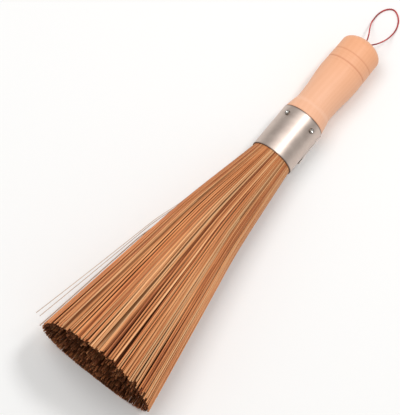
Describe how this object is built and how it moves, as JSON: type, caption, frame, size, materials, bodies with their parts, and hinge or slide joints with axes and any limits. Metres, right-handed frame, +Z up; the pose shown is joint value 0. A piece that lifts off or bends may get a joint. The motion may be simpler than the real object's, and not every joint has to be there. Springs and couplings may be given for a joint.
{
  "type": "pot scrubbing brush",
  "caption": "Pot scrubbing brush: turned wooden handle, rolled steel ferrule held by nails, long flaring head of bamboo splints cut square, red hanging loop.",
  "frame": {"origin": "middle of the footprint of the brush as it lies, without its cord, on the plane it lies on", "axes": "+X along the brush from the splint tips to the handle end, +Z up from the plane, +Y the side of the stray splints"},
  "size_m": [0.3289, 0.0962, 0.0707],
  "materials": {
    "handle_wood": "satin",
    "ferrule_steel": "satin",
    "nail_steel": "gloss",
    "bamboo": "satin",
    "bamboo_pale": "satin",
    "cord_red": "matte",
    "knot_red": "matte"
  },
  "bodies": {
    "brush_body": {"handle": "handle_wood", "ferrule": "ferrule_steel", "nail_1": "nail_steel", "nail_2": "nail_steel", "nail_3": "nail_steel", "nail_4": "nail_steel", "splint_roots": "bamboo", "core_bundle": "bamboo", "cord_plug": "knot_red"},
    "bundle_01": {"outer_bundle_01": "bamboo", "inner_bundle_01": "bamboo"},
    "bundle_02": {"outer_bundle_02": "bamboo", "inner_bundle_02": "bamboo"},
    "bundle_03": {"outer_bundle_03": "bamboo", "inner_bundle_03": "bamboo"},
    "bundle_04": {"outer_bundle_04": "bamboo", "inner_bundle_04": "bamboo"},
    "bundle_05": {"outer_bundle_05": "bamboo", "inner_bundle_05": "bamboo"},
    "bundle_06": {"outer_bundle_06": "bamboo", "inner_bundle_06": "bamboo"},
    "bundle_07": {"outer_bundle_07": "bamboo", "inner_bundle_07": "bamboo"},
    "bundle_08": {"outer_bundle_08": "bamboo", "inner_bundle_08": "bamboo"},
    "bundle_09": {"outer_bundle_09": "bamboo", "inner_bundle_09": "bamboo"},
    "bundle_10": {"outer_bundle_10": "bamboo", "inner_bundle_10": "bamboo"},
    "bundle_11": {"outer_bundle_11": "bamboo", "inner_bundle_11": "bamboo"},
    "bundle_12": {"outer_bundle_12": "bamboo", "inner_bundle_12": "bamboo"},
    "stray_1": {"stray_splint_1": "bamboo_pale"},
    "stray_2": {"stray_splint_2": "bamboo_pale"},
    "stray_3": {"stray_splint_3": "bamboo_pale"},
    "loop": {"hanging_cord": "cord_red"}
  },
  "joints": [
    {"name": "flex_01", "type": "hinge", "parent": "brush_body", "child": "bundle_01", "pos_m": [0.04031, -0.00377, 0.03293], "axis": [0, 1, 0], "range_deg": [0, 5], "stiffness_Nm_per_rad": 0.4},
    {"name": "flex_02", "type": "hinge", "parent": "brush_body", "child": "bundle_02", "pos_m": [0.04026, 0.00398, 0.03085], "axis": [-0.014, 0.866, -0.4998], "range_deg": [0, 5], "stiffness_Nm_per_rad": 0.4},
    {"name": "flex_03", "type": "hinge", "parent": "brush_body", "child": "bundle_03", "pos_m": [0.0401, 0.00966, 0.02518], "axis": [-0.0243, 0.5, -0.8657], "range_deg": [0, 5], "stiffness_Nm_per_rad": 0.4},
    {"name": "flex_04", "type": "hinge", "parent": "brush_body", "child": "bundle_04", "pos_m": [0.03988, 0.01173, 0.01743], "axis": [-0.0281, 0, -0.9996], "range_deg": [0, 5], "stiffness_Nm_per_rad": 0.4},
    {"name": "flex_05", "type": "hinge", "parent": "brush_body", "child": "bundle_05", "pos_m": [0.03966, 0.00966, 0.00969], "axis": [-0.0243, -0.5, -0.8657], "range_deg": [0, 5], "stiffness_Nm_per_rad": 0.4},
    {"name": "flex_06", "type": "hinge", "parent": "brush_body", "child": "bundle_06", "pos_m": [0.0395, 0.00398, 0.00402], "axis": [-0.014, -0.866, -0.4998], "range_deg": [0, 5], "stiffness_Nm_per_rad": 0.4},
    {"name": "flex_07", "type": "hinge", "parent": "brush_body", "child": "bundle_07", "pos_m": [0.03944, -0.00377, 0.00194], "axis": [0, -1, 0], "range_deg": [0, 5], "stiffness_Nm_per_rad": 0.4},
    {"name": "flex_08", "type": "hinge", "parent": "brush_body", "child": "bundle_08", "pos_m": [0.0395, -0.01152, 0.00402], "axis": [0.014, -0.866, 0.4998], "range_deg": [0, 5], "stiffness_Nm_per_rad": 0.4},
    {"name": "flex_09", "type": "hinge", "parent": "brush_body", "child": "bundle_09", "pos_m": [0.03966, -0.01719, 0.00969], "axis": [0.0243, -0.5, 0.8657], "range_deg": [0, 5], "stiffness_Nm_per_rad": 0.4},
    {"name": "flex_10", "type": "hinge", "parent": "brush_body", "child": "bundle_10", "pos_m": [0.03988, -0.01927, 0.01743], "axis": [0.0281, 0, 0.9996], "range_deg": [0, 5], "stiffness_Nm_per_rad": 0.4},
    {"name": "flex_11", "type": "hinge", "parent": "brush_body", "child": "bundle_11", "pos_m": [0.0401, -0.01719, 0.02518], "axis": [0.0243, 0.5, 0.8657], "range_deg": [0, 5], "stiffness_Nm_per_rad": 0.4},
    {"name": "flex_12", "type": "hinge", "parent": "brush_body", "child": "bundle_12", "pos_m": [0.04026, -0.01152, 0.03085], "axis": [0.014, 0.866, 0.4998], "range_deg": [0, 5], "stiffness_Nm_per_rad": 0.4},
    {"name": "stray_flex_1", "type": "hinge", "parent": "bundle_04", "child": "stray_1", "pos_m": [-0.02197, 0.02469, 0.0237], "axis": [-0.0277, 0.1736, -0.9844], "range_deg": [-2, 6], "stiffness_Nm_per_rad": 0.02},
    {"name": "stray_flex_2", "type": "hinge", "parent": "bundle_04", "child": "stray_2", "pos_m": [-0.02602, 0.02549, 0.02184], "axis": [-0.028, 0.0958, -0.995], "range_deg": [-2, 6], "stiffness_Nm_per_rad": 0.02},
    {"name": "stray_flex_3", "type": "hinge", "parent": "bundle_04", "child": "stray_3", "pos_m": [-0.04008, 0.02749, 0.01993], "axis": [-0.0281, 0.0087, -0.9996], "range_deg": [0, 6], "stiffness_Nm_per_rad": 0.02},
    {"name": "loop_swing", "type": "hinge", "parent": "brush_body", "child": "loop", "pos_m": [0.14644, -0.00377, 0.01444], "axis": [0, -1, 0], "range_deg": [0, 90]}
  ]
}
